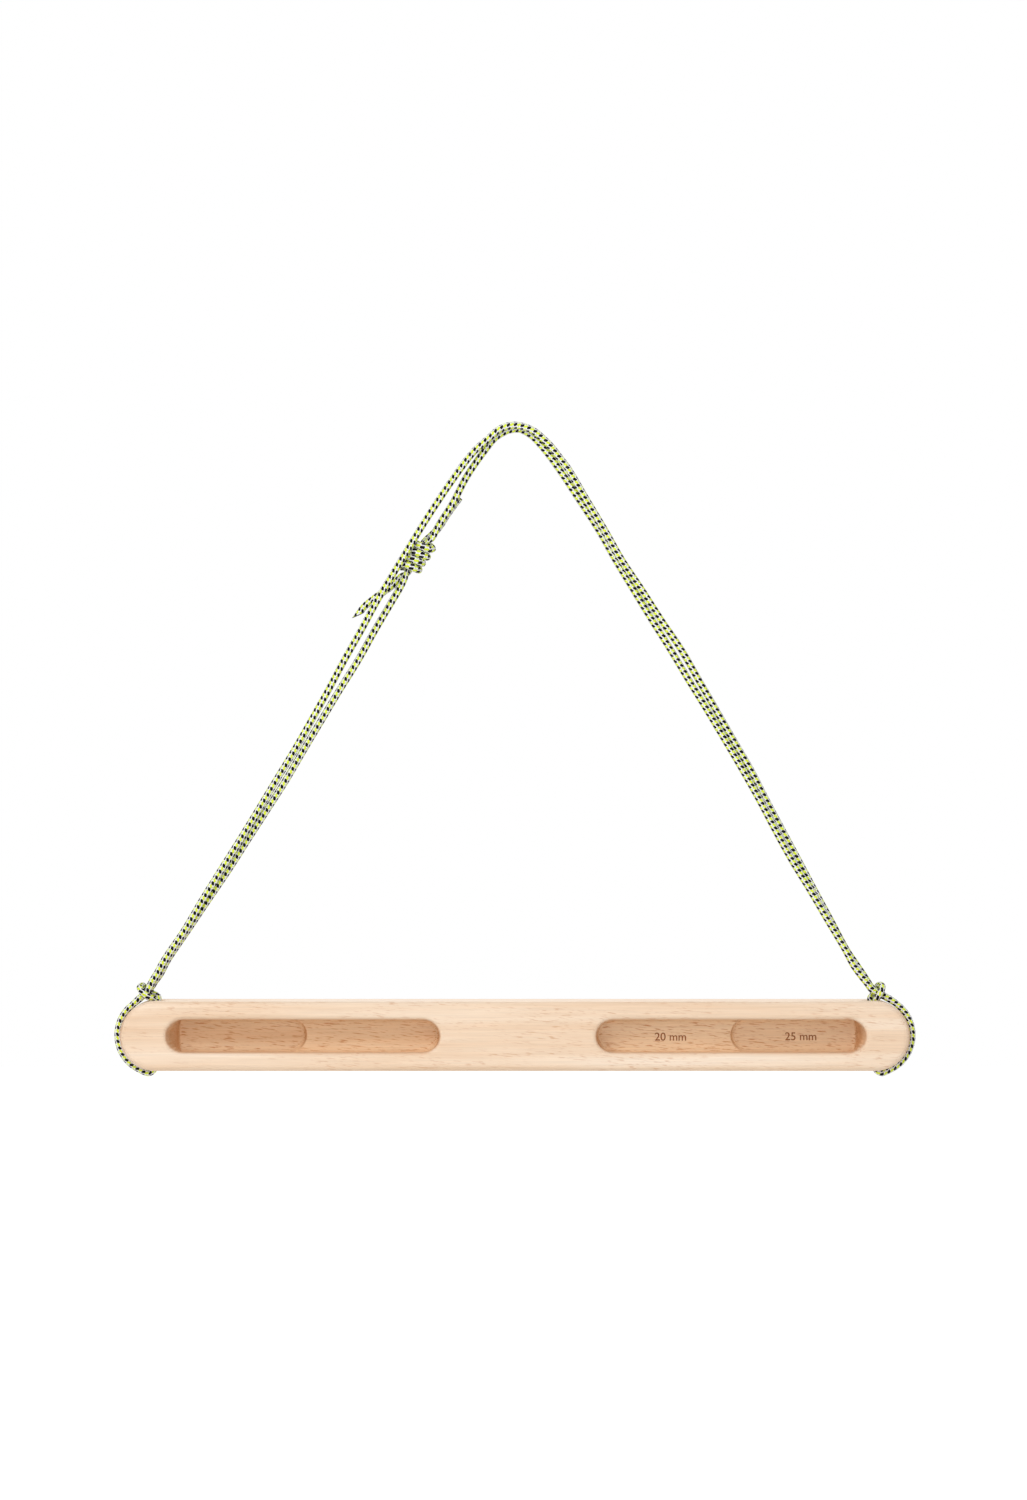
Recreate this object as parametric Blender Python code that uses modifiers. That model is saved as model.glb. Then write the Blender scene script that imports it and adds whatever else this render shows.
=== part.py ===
"""Portable hangboard: a round ended hardwood bar with stepped finger pockets, hung on a doubled cord.

The object hangs. X runs along the bar, the front face looks towards -Y and Z is up. The origin is where
a hook or a branch carries the cord, at the underside of its top bend.
"""

import math

import bmesh
import bpy
from mathutils import Vector

MM = 0.001

# Wooden bar
BAR_LENGTH = 510 * MM
BAR_HEIGHT = 45 * MM
BAR_THICKNESS = 45 * MM
BAR_EDGE_ROUND = 4 * MM
BAR_DROP = 390 * MM  # from the hook to the bar's centre line
BAR_END_STEPS = 24

# Finger pockets, measured from the bar's middle
POCKET_HEIGHT = 21.5 * MM
LEFT_POCKET_INNER_END = 48.7 * MM
RIGHT_POCKET_INNER_END = 52.5 * MM
LEFT_POCKET_STEP = 135 * MM  # where the floor changes depth
RIGHT_POCKET_STEP = 139.8 * MM
LEFT_POCKET_OUTER_END = 225 * MM
RIGHT_POCKET_OUTER_END = 226.3 * MM
LEFT_DEEPEST_END = 217.6 * MM  # the outer end wall slopes in to here, 25 mm down
RIGHT_DEEPEST_END = 220.9 * MM
DEEPEST_END_BULGE = 1.5 * MM  # it is nearly flat there, and half round at the rim
FRONT_OUTER_DEPTH = 25 * MM
FRONT_INNER_DEPTH = 20 * MM
BACK_OUTER_DEPTH = 10 * MM
BACK_INNER_DEPTH = 15 * MM
LIP_ROUND = 3 * MM
FLOOR_ROUND = 5 * MM
STEP_LIP_ROUND = 1 * MM
END_FLOOR_ROUND = 1.5 * MM
POCKET_END_STEPS = 12
ROUND_STEPS = 4

# Cord holes, one through each round end
HOLE_DIAMETER = 12 * MM
HOLE_RIM_ROUND = 3 * MM
HOLE_STEPS = 32
CUT_OVERRUN = 1 * MM

# Cord
CORD_DIAMETER = 4.6 * MM
BIGHT_DIAMETER = 4.2 * MM  # squeezed where the hitch's loop is pulled tight
END_WRAP_DIAMETER = 4.2 * MM  # pressed against the bar's round ends
WRAP_DIAMETER = 4.5 * MM  # squeezed in the knot's wraps
CORE_DIAMETER = 3 * MM  # squeezed inside those wraps
CORD_TO_WOOD = 0.3 * MM
STRAND_GAP = 0.5 * MM
LOOP_GAP = 0.82 * MM  # between a hitch's loop and the strands under it
CORD_LONGEST_STEP = 42 * MM
CORD_TURN_STEP = math.radians(20)
CORD_SIDES_STEP = 2  # 8 sides
CUT_OFF_STUB = 13 * MM  # what a route loses on average where the cord's nodes are parted

# Swing of the bar under the cord, about a line along X through both hitches
HINGE_ABOVE_BAR = 39 * MM  # from the bar's centre line
HINGE_STUB_RADIUS = 7.7 * MM
HINGE_GAP = 0.3 * MM

# Double fisherman's knot on the left leg
KNOT_CENTRE = Vector((-64.7, 6.4, -79.9)) * MM
KNOT_LEAN = math.radians(33.5)  # its axis from the vertical, towards +X
KNOT_PITCH = 5.2 * MM
KNOT_GAP = 0.6 * MM  # between neighbouring strands inside the knot
WRAP_STEP = 15  # degrees
# Where each standing strand nears the knot: two points (distance off the axis, angle in degrees)
UPPER_ENTRY = ((3.2 * MM, 306), (2.3 * MM, 284))
LOWER_ENTRY = ((2.5 * MM, 240), (2.2 * MM, 264))

BAR_CENTRE_Z = -BAR_DROP
END_RADIUS = BAR_HEIGHT / 2
END_CENTRE_X = BAR_LENGTH / 2 - END_RADIUS
CORD_RADIUS = CORD_DIAMETER / 2
END_WRAP_RADIUS = END_WRAP_DIAMETER / 2
STRAND_Y = (CORD_DIAMETER + STRAND_GAP) / 2
HINGE_Z = BAR_CENTRE_Z + HINGE_ABOVE_BAR
CORE_RADIUS = CORE_DIAMETER / 2
WRAP_RADIUS = WRAP_DIAMETER / 2
CORE_OFFSET = (CORE_DIAMETER + KNOT_GAP) / math.sqrt(3)  # three strands side by side round the axis
WRAP_OFFSET = CORE_OFFSET + CORE_RADIUS + KNOT_GAP + WRAP_RADIUS


def clear_scene():
    for obj in list(bpy.data.objects):
        bpy.data.objects.remove(obj, do_unlink=True)


def new_collection(name):
    collection = bpy.data.collections.new(name)
    bpy.context.scene.collection.children.link(collection)
    return collection


def principled(name, colour, roughness):
    material = bpy.data.materials.new(name)
    material.use_nodes = True
    shader = material.node_tree.nodes["Principled BSDF"]
    shader.inputs["Base Color"].default_value = (*colour, 1.0)
    shader.inputs["Roughness"].default_value = roughness
    shader.inputs["Metallic"].default_value = 0.0
    return material


def curve_to_mesh(curve_object, name, collection):
    """A mesh object in place of a curve object, with its caps welded on."""
    bpy.context.view_layer.update()
    graph = bpy.context.evaluated_depsgraph_get()
    mesh = bpy.data.meshes.new_from_object(curve_object.evaluated_get(graph))
    mesh.name = name
    mesh.transform(curve_object.matrix_world)
    welded = bmesh.new()
    welded.from_mesh(mesh)
    bmesh.ops.remove_doubles(welded, verts=welded.verts, dist=0.001 * MM)
    bmesh.ops.recalc_face_normals(welded, faces=welded.faces)
    welded.to_mesh(mesh)
    welded.free()
    bpy.data.objects.remove(curve_object, do_unlink=True)
    made = bpy.data.objects.new(name, mesh)
    collection.objects.link(made)
    return made


def flat_outline(name, points, half_thickness, edge_round, collection):
    """A plate in the XZ plane, thick along Y, from points (x, z) and with rounded edges."""
    curve = bpy.data.curves.new(name, "CURVE")
    curve.dimensions = "2D"
    curve.fill_mode = "BOTH"
    curve.extrude = half_thickness - edge_round
    curve.bevel_depth = edge_round
    curve.bevel_resolution = 3 if edge_round else 0
    spline = curve.splines.new("POLY")
    spline.points.add(len(points) - 1)
    for point, (x, z) in zip(spline.points, points):
        point.co = (x, z, 0, 1)
    spline.use_cyclic_u = True
    plate = bpy.data.objects.new(name, curve)
    plate.rotation_euler = (math.pi / 2, 0, 0)
    collection.objects.link(plate)
    return curve_to_mesh(plate, name, collection)


def stadium(low_x, high_x, radius, steps, high_bulge=None):
    """Points (x, z) of a round ended slot between two x, anticlockwise seen from the front.

    Its ends are half circles. high_bulge flattens the one at high_x to that many metres.
    """
    bulge = radius if high_bulge is None else high_bulge
    ends = ((high_x - bulge, bulge, -math.pi / 2), (low_x + radius, radius, math.pi / 2))
    points = []
    for centre, reach, start in ends:
        for i in range(steps + 1):
            angle = start + math.pi * i / steps
            points.append((centre + reach * math.cos(angle), radius * math.sin(angle)))
    return points


def loft(name, rings, collection):
    """A closed solid through rings of as many points each, capped at both ends."""
    mesh = bpy.data.meshes.new(name)
    shape = bmesh.new()
    rows = [[shape.verts.new(point) for point in ring] for ring in rings]
    for lower, upper in zip(rows, rows[1:]):
        for i in range(len(lower)):
            j = (i + 1) % len(lower)
            shape.faces.new((lower[i], lower[j], upper[j], upper[i]))
    shape.faces.new(rows[0])
    shape.faces.new(rows[-1])
    bmesh.ops.recalc_face_normals(shape, faces=shape.faces)
    shape.to_mesh(mesh)
    shape.free()
    made = bpy.data.objects.new(name, mesh)
    collection.objects.link(made)
    return made


def lip_inset(depth):
    """How far the pocket's wall stands in from its nominal outline; the lip's round stands out."""
    if depth >= LIP_ROUND:
        return 0.0
    rise = LIP_ROUND - max(depth, 0.0)
    return math.sqrt(LIP_ROUND**2 - rise**2) - LIP_ROUND


def floor_inset(depth, floor_depth, round_radius):
    """How far a wall has curved in where it meets the floor."""
    rise = depth - (floor_depth - round_radius)
    if rise <= 0:
        return 0.0
    return round_radius - math.sqrt(max(round_radius**2 - rise**2, 0.0))


def step_inset(depth, upper_floor, lower_floor):
    """The wall of the step between two floors: a rounded lip above, then a round into the lower floor."""
    drop = depth - upper_floor
    if drop < STEP_LIP_ROUND:
        rise = STEP_LIP_ROUND - max(drop, 0.0)
        return math.sqrt(STEP_LIP_ROUND**2 - rise**2) - STEP_LIP_ROUND
    return floor_inset(depth, lower_floor, lower_floor - upper_floor - STEP_LIP_ROUND)


def floor_levels(floor_depth, round_radius):
    """Depths down the round that joins a wall to the floor."""
    quarter = math.pi / 2
    return [
        floor_depth - round_radius + round_radius * math.sin(quarter * i / ROUND_STEPS)
        for i in range(ROUND_STEPS + 1)
    ]


def pocket_ring(side, face, depth, side_inset, inner_end, outer_end, outer_bulge=None):
    """One level of a pocket. side is +1 on the right, face is -1 at the front and +1 at the back."""
    radius = POCKET_HEIGHT / 2 - side_inset
    y = face * (BAR_THICKNESS / 2 - depth)
    outline = stadium(inner_end, outer_end, radius, POCKET_END_STEPS, outer_bulge)
    return [(side * x, y, BAR_CENTRE_Z + z) for x, z in outline]


def outer_end_wall(depth, ends):
    """How far out the sloping end wall stands at a depth, and how far its middle bulges."""
    rim_end, deepest_end = ends
    share = max(depth - LIP_ROUND, 0.0) / (FRONT_OUTER_DEPTH - LIP_ROUND)
    bulge = POCKET_HEIGHT / 2 * (1 - share) + DEEPEST_END_BULGE * share
    return rim_end + (deepest_end - rim_end) * share, bulge


def whole_pocket(name, side, face, inner_end, outer_ends, floor_depth, collection):
    """The pocket over its whole length, down to its shallower floor."""
    quarter = math.pi / 2
    lip = [LIP_ROUND * (1 - math.cos(quarter * i / ROUND_STEPS)) for i in range(ROUND_STEPS + 1)]
    rings = []
    for depth in [-CUT_OVERRUN] + lip + floor_levels(floor_depth, FLOOR_ROUND):
        inset = lip_inset(depth) + floor_inset(depth, floor_depth, FLOOR_ROUND)
        outer, bulge = outer_end_wall(depth, outer_ends)
        bulge -= lip_inset(depth)
        rings.append(pocket_ring(side, face, depth, inset, inner_end + inset, outer - inset, bulge))
    return loft(name, rings, collection)


def deeper_zone(name, side, face, span, outer_ends, floors, at_outer_end, collection):
    """The half of the pocket whose floor lies deeper, from just above the shallower floor."""
    inner_end, step = span
    upper_floor, lower_floor = floors
    levels = [upper_floor - FLOOR_ROUND, upper_floor]
    levels += [upper_floor + STEP_LIP_ROUND * i / ROUND_STEPS for i in range(1, ROUND_STEPS)]
    levels += floor_levels(lower_floor, FLOOR_ROUND)
    rings = []
    for depth in sorted(set(round(level, 6) for level in levels)):
        inset = floor_inset(depth, lower_floor, FLOOR_ROUND)
        wall = step_inset(depth, upper_floor, lower_floor)
        if at_outer_end:
            inner = step + wall
            outer, bulge = outer_end_wall(depth, outer_ends)
            outer -= floor_inset(depth, lower_floor, END_FLOOR_ROUND)
        else:
            inner = inner_end + inset
            outer = step - wall
            bulge = None
        rings.append(pocket_ring(side, face, depth, inset, inner, outer, bulge))
    return loft(name, rings, collection)


def cord_hole(name, x, collection):
    """A vertical bore with a rounded rim at the bar's top and bottom, turned from its profile."""
    bore = HOLE_DIAMETER / 2
    mouth = bore + HOLE_RIM_ROUND
    half = BAR_HEIGHT / 2
    profile = [(0.0, half + CUT_OVERRUN), (mouth, half + CUT_OVERRUN)]
    quarter = math.pi / 2
    for i in range(ROUND_STEPS + 1):
        angle = quarter * i / ROUND_STEPS
        out = mouth - HOLE_RIM_ROUND * math.sin(angle)
        up = half - HOLE_RIM_ROUND + HOLE_RIM_ROUND * math.cos(angle)
        profile.append((out, up))
    profile += [(out, -up) for out, up in reversed(profile)]
    lines = [(i, i + 1) for i in range(len(profile) - 1)]
    mesh = bpy.data.meshes.new(name)
    mesh.from_pydata([(out, 0, up) for out, up in profile], lines, [])
    hole = bpy.data.objects.new(name, mesh)
    hole.location = (x, 0, BAR_CENTRE_Z)
    collection.objects.link(hole)
    screw = hole.modifiers.new("turned", "SCREW")
    screw.axis = "Z"
    screw.steps = HOLE_STEPS
    screw.render_steps = HOLE_STEPS
    screw.use_merge_vertices = True
    screw.merge_threshold = 0.01 * MM
    return hole


def cut(target, cutter):
    cutter.hide_render = True
    cutter.display_type = "WIRE"
    boolean = target.modifiers.new("cut by " + cutter.name, "BOOLEAN")
    boolean.operation = "DIFFERENCE"
    boolean.solver = "EXACT"
    boolean.object = cutter


def shade(obj, material):
    obj.data.materials.clear()
    obj.data.materials.append(material)
    if obj.type == "MESH":
        obj.data.shade_smooth()
        obj.data.set_sharp_from_angle(angle=math.radians(35))


def wooden_bar(parts, cutters, material):
    """The bar: a stadium outline with rounded edges, less its four stepped pockets and two cord holes."""
    inner_radius = END_RADIUS - BAR_EDGE_ROUND
    reach = BAR_LENGTH / 2 - BAR_EDGE_ROUND
    outline = stadium(-reach, reach, inner_radius, BAR_END_STEPS)
    bar = flat_outline("wooden_bar", outline, BAR_THICKNESS / 2, BAR_EDGE_ROUND, parts)
    for vertex in bar.data.vertices:
        vertex.co.z += BAR_CENTRE_Z
    shade(bar, material)
    left_ends = (LEFT_POCKET_OUTER_END, LEFT_DEEPEST_END)
    right_ends = (RIGHT_POCKET_OUTER_END, RIGHT_DEEPEST_END)
    for side, hand, span, ends in (
        (-1, "left", (LEFT_POCKET_INNER_END, LEFT_POCKET_STEP), left_ends),
        (1, "right", (RIGHT_POCKET_INNER_END, RIGHT_POCKET_STEP), right_ends),
    ):
        for face, where, outer, inner in (
            (-1, "front", FRONT_OUTER_DEPTH, FRONT_INNER_DEPTH),
            (1, "back", BACK_OUTER_DEPTH, BACK_INNER_DEPTH),
        ):
            name = f"{hand}_{where}_pocket"
            shallow, deep = sorted((outer, inner))
            cut(bar, whole_pocket(name, side, face, span[0], ends, shallow, cutters))
            floors = (shallow, deep)
            zone = deeper_zone(name + "_step", side, face, span, ends, floors, outer > inner, cutters)
            cut(bar, zone)
        cut(bar, cord_hole(f"{hand}_cord_hole", side * END_CENTRE_X, cutters))
    return bar


def between(before, start, end, after, share):
    """A point of the centripetal Catmull-Rom curve from start to end. Points are (x, y, z, radius)."""
    knots = [0.0]
    for a, b in ((before, start), (start, end), (end, after)):
        knots.append(knots[-1] + max((b - a).to_3d().length, 1e-9) ** 0.5)
    t0, t1, t2, t3 = knots
    t = t1 + (t2 - t1) * share
    a1 = before * ((t1 - t) / (t1 - t0)) + start * ((t - t0) / (t1 - t0))
    a2 = start * ((t2 - t) / (t2 - t1)) + end * ((t - t1) / (t2 - t1))
    a3 = end * ((t3 - t) / (t3 - t2)) + after * ((t - t2) / (t3 - t2))
    b1 = a1 * ((t2 - t) / (t2 - t0)) + a2 * ((t - t0) / (t2 - t0))
    b2 = a2 * ((t3 - t) / (t3 - t1)) + a3 * ((t - t1) / (t3 - t1))
    return b1 * ((t2 - t) / (t2 - t1)) + b2 * ((t - t1) / (t2 - t1))


def smoothed(route):
    """Points read from one smooth curve through the route, closer together where it turns."""
    ends = [route[0] * 2 - route[1]] + route + [route[-1] * 2 - route[-2]]
    points = [route[0]]
    for before, start, end, after in zip(ends, ends[1:], ends[2:], ends[3:]):
        turn = (end - before).to_3d().angle((after - start).to_3d())
        length = (end - start).to_3d().length
        count = max(1, math.ceil(turn / CORD_TURN_STEP), math.ceil(length / CORD_LONGEST_STEP))
        points += [between(before, start, end, after, (i + 1) / count) for i in range(count)]
    return points


def cord_tube(name, points, collection):
    """A tube through points (x, y, z, radius)."""
    curve = bpy.data.curves.new(name, "CURVE")
    curve.dimensions = "3D"
    curve.bevel_depth = CORD_RADIUS
    curve.bevel_resolution = CORD_SIDES_STEP
    curve.use_fill_caps = True
    spline = curve.splines.new("POLY")
    spline.points.add(len(points) - 1)
    for point, (x, y, z, radius) in zip(spline.points, points):
        point.co = (x, y, z, 1)
        point.radius = radius / CORD_RADIUS
    tube = bpy.data.objects.new(name, curve)
    collection.objects.link(tube)
    return tube


def full_strand(points):
    """Route points (x, y, z) in millimetres as (x, y, z, radius) in metres."""
    return [Vector((x * MM, y * MM, z * MM, CORD_RADIUS)) for x, y, z in points]


# Free strands of the cord, in millimetres from the hook. The first goes over the hook from one hitch
# to the other, the second from the right hitch to the knot, the third from the left hitch to the knot.
OUTER_STRAND = (
    (-232.3, -2.65, -351.0), (-228.0, -2.6, -341.5), (-214.4, -2.6, -322.1), (-202.45, -2.4, -302.6),
    (-191.05, -2.0, -283.2), (-178.95, -1.9, -263.7), (-166.95, -1.5, -244.3), (-155.15, -1.0, -224.9),
    (-143.25, -1.0, -205.4), (-132.25, -1.0, -186.0), (-121.65, -1.2, -166.5), (-111.35, -1.8, -147.1),
    (-100.35, -2.5, -127.7), (-89.65, -3.0, -108.2), (-78.0, -3.1, -88.8), (-66.2, -3.1, -69.3),
    (-53.55, -3.0, -49.9), (-40.55, -2.7, -30.5), (-27.0, -2.4, -12.5), (-16.9, -2.4, -3.4),
    (-11.0, -2.4, 1.8), (-5.2, -2.4, 4.4), (0.6, -2.4, 5.0), (6.5, -2.4, 3.8), (12.3, -2.4, 1.2),
    (18.1, -2.3, -3.6), (23.3, -2.4, -8.8), (28.7, -2.5, -15.7), (34.0, -2.7, -22.7), (46.1, -2.9, -43.0),
    (58.0, -2.9, -62.9), (69.1, -2.4, -82.3), (82.1, -1.6, -101.7), (94.7, -0.9, -121.2),
    (107.7, -0.2, -140.6), (118.6, 0.1, -160.1), (129.8, 0.6, -179.5), (141.2, 1.0, -198.9),
    (152.7, 1.4, -218.4), (162.8, 1.9, -237.8), (173.2, 1.8, -257.3), (183.6, 1.7, -276.7),
    (194.6, 2.3, -296.1), (205.4, 2.6, -315.6), (214.9, 2.7, -335.0), (222.3, 2.6, -344.7),
    (227.3, 2.6, -351.0),
)
INNER_STRAND = (
    (222.8, -2.6, -351.0), (218.8, -2.6, -344.7), (214.0, -2.75, -335.0), (202.8, -2.6, -315.6),
    (191.25, -2.3, -296.1), (179.45, -1.7, -276.7), (168.75, -1.8, -257.3), (158.45, -1.9, -237.8),
    (147.45, -1.4, -218.4), (135.85, -1.0, -198.9), (124.05, -0.6, -179.5), (112.15, -0.1, -160.1),
    (100.85, 0.2, -140.6), (88.85, 0.8, -121.2), (76.95, 1.6, -101.7), (64.85, 2.4, -82.3),
    (53.45, 2.8, -62.9), (41.0, 2.8, -43.4), (25.9, 2.7, -20.1), (16.8, 2.6, -7.8), (10.0, 2.6, -1.0),
    (3.2, 2.6, 2.5), (-3.9, 2.6, 2.0), (-9.0, 2.6, -0.3), (-13.6, 2.6, -3.6), (-19.5, 2.7, -11.0),
    (-24.5, 2.8, -17.8), (-31.6, 3.0, -28.5), (-40.3, 3.4, -45.2), (-50.2, 3.9, -60.3),
)
LOWER_STRAND = (
    (-229.7, 2.65, -351.0), (-225.3, 2.6, -341.5), (-212.2, 2.6, -322.1), (-199.1, 2.4, -302.6),
    (-186.55, 2.0, -283.2), (-174.25, 1.9, -263.7), (-161.55, 1.5, -244.3), (-149.05, 1.0, -224.9),
    (-137.55, 1.0, -205.4), (-125.95, 1.0, -186.0), (-114.5, 1.3, -166.5), (-102.5, 2.2, -147.1),
    (-91.6, 3.0, -127.7), (-80.0, 3.8, -108.2), (-74.4, 4.1, -98.5),
)
# The cord's two free ends beyond the knot
LOWER_TAIL = ((-73.9, 9.8, -92.4), (-80.2, 9.2, -98.6), (-90.8, 7.1, -106.4), (-103.2, 5.5, -117.3))
UPPER_TAIL = ((-55.4, 9.9, -66.5), (-49.6, 9.3, -60.6), (-44.6, 8.9, -53.2), (-36.2, 8.6, -41.8))


def end_point(side, out, up, y, radius=CORD_RADIUS):
    """A point beside one of the bar's round ends: out is from the end's centre, away from the middle."""
    return Vector((side * (END_CENTRE_X + out * MM), y * MM, BAR_CENTRE_Z + up * MM, radius))


def end_wrap(side, y, from_angle, to_angle):
    """The cord where it lies on the bar's round end."""
    radius = END_RADIUS + CORD_TO_WOOD + END_WRAP_RADIUS
    steps = 8
    points = []
    for i in range(steps + 1):
        angle = math.radians(from_angle + (to_angle - from_angle) * i / steps)
        x = side * (END_CENTRE_X + radius * math.cos(angle))
        points.append(Vector((x, y, BAR_CENTRE_Z + radius * math.sin(angle), END_WRAP_RADIUS)))
    return points


# Each hitch beside its end of the bar: (out, up, y) in millimetres. First the two strands as they come
# down into it, then the loop between the two mouths of the hole, front half first.
LEFT_FRONT_STRAND = ((-4.6, 48.5, -2.75), (-0.2, 39.0, -2.75), (1.6, 35.3, -2.75),
                     (4.4, 30.8, -2.75), (6.2, 27.8, -2.75), (9.4, 24.8, -2.75), (12.1, 22.4, -2.75))
LEFT_REAR_STRAND = ((-7.2, 48.5, 2.75), (-2.8, 39.0, 2.75), (0.0, 35.3, 2.75),
                    (3.5, 30.8, 2.75), (6.2, 27.8, 2.75), (9.4, 24.8, 2.75), (12.1, 22.4, 2.75))
RIGHT_FRONT_STRAND = ((-18.5, 55.0, -2.75), (-13.7, 45.3, -2.75), (-9.7, 39.0, -2.75),
                      (-5.0, 33.4, -2.75), (-1.2, 29.9, -2.75), (2.8, 27.9, -2.75),
                      (7.2, 25.3, -2.75), (11.3, 22.7, -2.75))
RIGHT_REAR_STRAND = ((-17.6, 55.0, 2.75), (-10.2, 45.3, 2.75), (-5.2, 39.0, 2.75),
                     (-2.2, 34.4, 2.75), (0.2, 30.5, 2.75), (3.2, 28.0, 2.75),
                     (7.2, 25.3, 2.75), (11.3, 22.6, 2.75))
# Where the loop crosses the strands, and the way the strands run there
LEFT_CROSSING = ((6.2, 27.8), (0.667, -0.744))
RIGHT_CROSSING = ((3.0, 28.2), (0.877, -0.480))
LEFT_MOUTH = (((0.9, 17.5, -2.6), (1.2, 20.8, -3.3), (2.3, 23.5, -4.6)),
              ((-0.8, 24.6, 5.2), (-1.0, 22.4, 3.9), (-0.4, 19.5, 2.9)))
RIGHT_MOUTH = (((0.9, 17.5, -2.6), (1.2, 20.8, -3.5), (1.9, 23.6, -5.5)),
               ((-1.2, 24.4, 5.2), (-1.2, 22.0, 3.8), (-0.4, 19.5, 2.9)))
LOOP_TILT = 1.5
LOOP_START_ANGLE = -35
# From the round end into the hole's lower mouth, then up the hole
LOWER_TURN = ((5.3, -24.7), (2.8, -23.9), (1.3, -21.9), (0.9, -19.3))
HOLE_RUN = ((0.8, -10.0), (0.8, 10.0))
WRAP_TOP_ANGLE = 55
WRAP_LOW_ANGLE = -68


def loop_over(crossing):
    """The hitch's loop where it bends over both strands, front half first: (out, up, y)."""
    (out, up), (along_out, along_up) = crossing
    across_out, across_up = -along_up, along_out
    offset = ((CORD_DIAMETER + BIGHT_DIAMETER) / 2 + LOOP_GAP) / MM
    front = []
    for angle in (LOOP_START_ANGLE, -10, 15, 40, 65, 90):
        turn = math.radians(angle)
        rise = offset * math.sin(turn)
        y = -(STRAND_Y / MM) - offset * math.cos(turn)
        tilt = LOOP_TILT * -y / (STRAND_Y / MM + offset)
        front.append((tilt, rise, y))
    halves = front + [(-tilt, rise, -y) for tilt, rise, y in reversed(front)]
    return [
        (out + along_out * tilt + across_out * rise, up + along_up * tilt + across_up * rise, y)
        for tilt, rise, y in halves
    ]


def hitch_route(side, front_strand, rear_strand, crossing, mouths):
    """One strand down, round the end, up the hole, over both strands, and back the same way."""

    def half(strand, y):
        points = [end_point(side, out, up, strand_y) for out, up, strand_y in strand]
        points += end_wrap(side, y, WRAP_TOP_ANGLE, WRAP_LOW_ANGLE)
        points += [end_point(side, out, up, y / MM, END_WRAP_RADIUS) for out, up in LOWER_TURN]
        points += [end_point(side, out, up, y / MM * 0.97, BIGHT_DIAMETER / 2) for out, up in HOLE_RUN]
        return points

    loop = mouths[0] + tuple(loop_over(crossing)) + mouths[1]
    bight = [end_point(side, out, up, y, BIGHT_DIAMETER / 2) for out, up, y in loop]
    return half(front_strand, -STRAND_Y) + bight + half(rear_strand, STRAND_Y)[::-1]


def knot_point(mirrored, out, angle, height, radius):
    """A point in the knot, from its distance off the axis, its angle in degrees and its height along it.

    The knot is the same turned half round its front: mirrored gives the other end of the cord.
    """
    if mirrored:
        angle = 540 - angle
        height = -height
    axis = Vector((math.sin(KNOT_LEAN), 0, math.cos(KNOT_LEAN)))
    right = Vector((math.cos(KNOT_LEAN), 0, -math.sin(KNOT_LEAN)))
    place = KNOT_CENTRE + axis * height + right * out * math.cos(math.radians(angle))
    place.y += out * math.sin(math.radians(angle))
    return Vector((*place, radius))


def wrap_height(angle):
    """How far along the axis a wrap of the upper end lies. Its two turns pass the front at 270 and 630."""
    return KNOT_PITCH * ((angle - 270) / 360 - 1.5)


def knot_end(mirrored, tail):
    """One end of the cord: in through the knot, round itself and the other end, back inside and out.

    The upper end comes in at the top, runs down inside both sets of wraps, turns out at the bottom,
    winds upwards, tucks in near the knot's middle and leaves at the bottom beside the other strand.
    """
    entry = LOWER_ENTRY if mirrored else UPPER_ENTRY
    low = wrap_height(180)
    tuck = wrap_height(705)
    steps = [
        (*entry[0], 15.0 * MM, 2.1 * MM),
        (*entry[1], 12.0 * MM, 1.6 * MM),
        (CORE_OFFSET, 270, 7.0 * MM, CORE_RADIUS),
        (CORE_OFFSET, 258, 4.0 * MM, CORE_RADIUS),
        (CORE_OFFSET, 234, 2.0 * MM, CORE_RADIUS),
        (CORE_OFFSET, 210, 0.0, CORE_RADIUS),
        (CORE_OFFSET, 186, -2.0 * MM, CORE_RADIUS),
        (CORE_OFFSET, 162, -4.0 * MM, CORE_RADIUS),
        (CORE_OFFSET, 150, -6.0 * MM, CORE_RADIUS),
        (CORE_OFFSET, 150, low + 1.3 * MM, CORE_RADIUS),
        (CORE_OFFSET + 0.15 * MM, 150, low - 0.4 * MM, CORE_RADIUS),
        (CORE_OFFSET + 0.95 * MM, 154, low - 1.8 * MM, 1.7 * MM),
        (WRAP_OFFSET - 2.0 * MM, 162, low - 2.4 * MM, 1.95 * MM),
        (WRAP_OFFSET - 0.8 * MM, 174, low - 2.0 * MM, 2.1 * MM),
        (WRAP_OFFSET - 0.1 * MM, 190, low - 1.3 * MM, WRAP_RADIUS),
        (WRAP_OFFSET, 207, low - 0.4 * MM, WRAP_RADIUS),
    ]
    for angle in range(225, 691, WRAP_STEP):
        steps.append((WRAP_OFFSET, angle, wrap_height(angle), WRAP_RADIUS))
    steps += [
        (WRAP_OFFSET - 0.2 * MM, 705, tuck, WRAP_RADIUS),
        (WRAP_OFFSET - 0.8 * MM, 718, tuck, 2.2 * MM),
        (WRAP_OFFSET - 1.6 * MM, 731, tuck - 0.2 * MM, 2.0 * MM),
        (CORE_OFFSET + 1.7 * MM, 742, tuck - 0.8 * MM, 1.75 * MM),
        (CORE_OFFSET + 0.8 * MM, 748, tuck - 1.9 * MM, 1.6 * MM),
        (CORE_OFFSET + 0.1 * MM, 750, tuck - 3.8 * MM, CORE_RADIUS),
        (CORE_OFFSET, 750, tuck - 7.0 * MM, CORE_RADIUS),
        (CORE_OFFSET + 0.3 * MM, 770, tuck - 11.0 * MM, 1.6 * MM),
    ]
    points = [knot_point(mirrored, *step) for step in steps]
    return points + full_strand(tail)


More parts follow.
